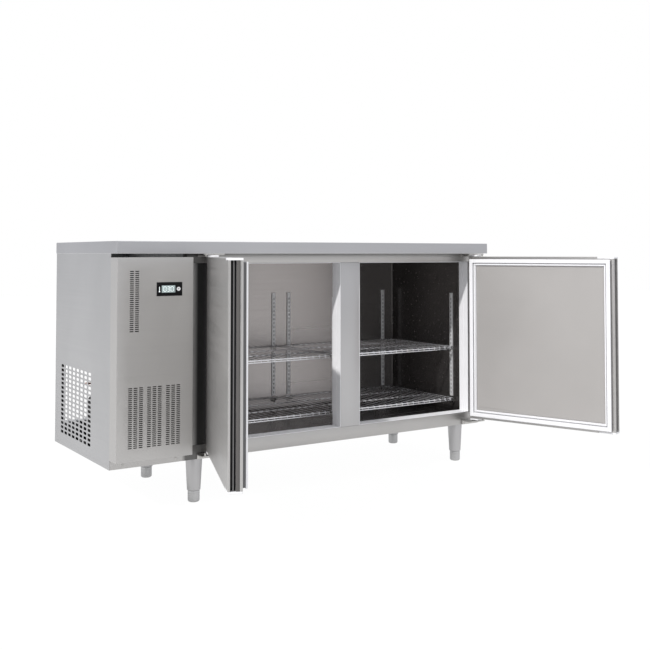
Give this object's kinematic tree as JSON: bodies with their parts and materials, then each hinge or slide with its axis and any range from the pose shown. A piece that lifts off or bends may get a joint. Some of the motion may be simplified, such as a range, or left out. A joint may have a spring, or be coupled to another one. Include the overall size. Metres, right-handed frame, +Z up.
{
  "type": "undercounter refrigerator",
  "caption": "Stainless undercounter refrigerator with hinged insulated doors, wire shelves, round adjustable legs and a side-mounted compressor behind a louvred cover.",
  "frame": {"origin": "on the floor, under the middle of the box that the whole object fills with both doors standing open", "axes": "+X to the right as the user faces the doors, +Y from the doors to the back of the cabinet, +Z up"},
  "size_m": [1.6594, 1.113, 0.85],
  "materials": {
    "worktop_steel": "satin",
    "panel_steel": "satin",
    "liner_steel": "satin",
    "galvanised": "satin",
    "zinc_plated": "satin",
    "chromed_wire": "polished",
    "white_plastic": "satin",
    "grey_plastic": "satin",
    "black_plastic": "gloss",
    "black_enamel": "satin",
    "foam": "matte",
    "copper": "satin",
    "fin_aluminium": "satin"
  },
  "bodies": {
    "cabinet": {"worktop": "worktop_steel", "side_panel_left": "panel_steel", "side_panel_right": "panel_steel", "base_pan": "galvanised", "back_panel": "galvanised", "bottom_rail": "panel_steel", "top_rail": "panel_steel", "left_post": "panel_steel", "right_post": "panel_steel", "centre_mullion": "panel_steel", "left_throat_trim": "white_plastic", "right_throat_trim": "white_plastic", "liner": "liner_steel", "insulation": "foam", "left_lower_hinge": "zinc_plated", "left_upper_hinge": "zinc_plated", "right_lower_hinge": "zinc_plated", "right_upper_hinge": "zinc_plated", "front_left_leg": "panel_steel", "front_right_leg": "panel_steel", "rear_left_leg": "panel_steel", "rear_right_leg": "panel_steel", "left_outer_standard": "liner_steel", "left_inner_standard": "liner_steel", "right_inner_standard": "liner_steel", "right_outer_standard": "liner_steel", "front_cover": "panel_steel", "display_module": "black_plastic", "compressor_tray": "galvanised", "condenser_coil": "fin_aluminium", "condenser_shroud": "black_enamel", "condenser_fan_motor": "black_enamel", "compressor": "black_enamel", "control_box": "grey_plastic", "cable_gland": "black_plastic", "filter_drier": "copper", "suction_line": "copper", "evaporator_cover": "liner_steel", "condensate_pan": "white_plastic", "evaporator_coil": "fin_aluminium", "evaporator_fan_motor": "black_enamel"},
    "left_door": {"left_door_skin": "panel_steel", "left_door_foam": "foam", "left_door_inner_panel": "panel_steel", "left_door_gasket": "white_plastic"},
    "right_door": {"right_door_skin": "panel_steel", "right_door_foam": "foam", "right_door_inner_panel": "panel_steel", "right_door_gasket": "white_plastic"},
    "condenser_rotor": {"condenser_fan": "black_plastic"},
    "evaporator_rotor": {"evaporator_fan": "black_plastic"},
    "left_lower_shelf_body": {"left_lower_shelf": "chromed_wire"},
    "left_upper_shelf_body": {"left_upper_shelf": "chromed_wire"},
    "right_lower_shelf_body": {"right_lower_shelf": "chromed_wire"},
    "right_upper_shelf_body": {"right_upper_shelf": "chromed_wire"},
    "front_left_foot_body": {"front_left_foot": "zinc_plated"},
    "front_right_foot_body": {"front_right_foot": "zinc_plated"},
    "rear_left_foot_body": {"rear_left_foot": "zinc_plated"},
    "rear_right_foot_body": {"rear_right_foot": "zinc_plated"},
    "button": {"set_button": "white_plastic"}
  },
  "joints": [
    {"name": "left_door_hinge", "type": "hinge", "parent": "cabinet", "child": "left_door", "pos_m": [-0.49969, -0.02217, 0.1805], "axis": [0, 0, 1], "range_deg": [0, 110]},
    {"name": "right_door_hinge", "type": "hinge", "parent": "cabinet", "child": "right_door", "pos_m": [0.62081, -0.02217, 0.1805], "axis": [0, 0, -1], "range_deg": [0, 110]},
    {"name": "condenser_fan_spin", "type": "hinge", "parent": "cabinet", "child": "condenser_rotor", "pos_m": [-0.70169, 0.14613, 0.2813], "axis": [0, 1, 0], "continuous": true},
    {"name": "evaporator_fan_spin", "type": "hinge", "parent": "cabinet", "child": "evaporator_rotor", "pos_m": [-0.42911, 0.29383, 0.63935], "axis": [1, 0, 0], "continuous": true},
    {"name": "left_lower_shelf_lift", "type": "slide", "parent": "cabinet", "child": "left_lower_shelf_body", "axis": [0, 0, 1], "range_m": [0, 0.025]},
    {"name": "left_upper_shelf_lift", "type": "slide", "parent": "cabinet", "child": "left_upper_shelf_body", "axis": [0, 0, 1], "range_m": [0, 0.025]},
    {"name": "right_lower_shelf_lift", "type": "slide", "parent": "cabinet", "child": "right_lower_shelf_body", "axis": [0, 0, 1], "range_m": [0, 0.025]},
    {"name": "right_upper_shelf_lift", "type": "slide", "parent": "cabinet", "child": "right_upper_shelf_body", "axis": [0, 0, 1], "range_m": [0, 0.025]},
    {"name": "front_left_foot_screw", "type": "slide", "parent": "cabinet", "child": "front_left_foot_body", "axis": [0, 0, -1], "range_m": [0, 0.025]},
    {"name": "front_right_foot_screw", "type": "slide", "parent": "cabinet", "child": "front_right_foot_body", "axis": [0, 0, -1], "range_m": [0, 0.025]},
    {"name": "rear_left_foot_screw", "type": "slide", "parent": "cabinet", "child": "rear_left_foot_body", "axis": [0, 0, -1], "range_m": [0, 0.025]},
    {"name": "rear_right_foot_screw", "type": "slide", "parent": "cabinet", "child": "rear_right_foot_body", "axis": [0, 0, -1], "range_m": [0, 0.025]},
    {"name": "set_button_press", "type": "slide", "parent": "cabinet", "child": "button", "axis": [0, 1, 0], "range_m": [0, 0.001], "stiffness_N_per_m": 400}
  ]
}
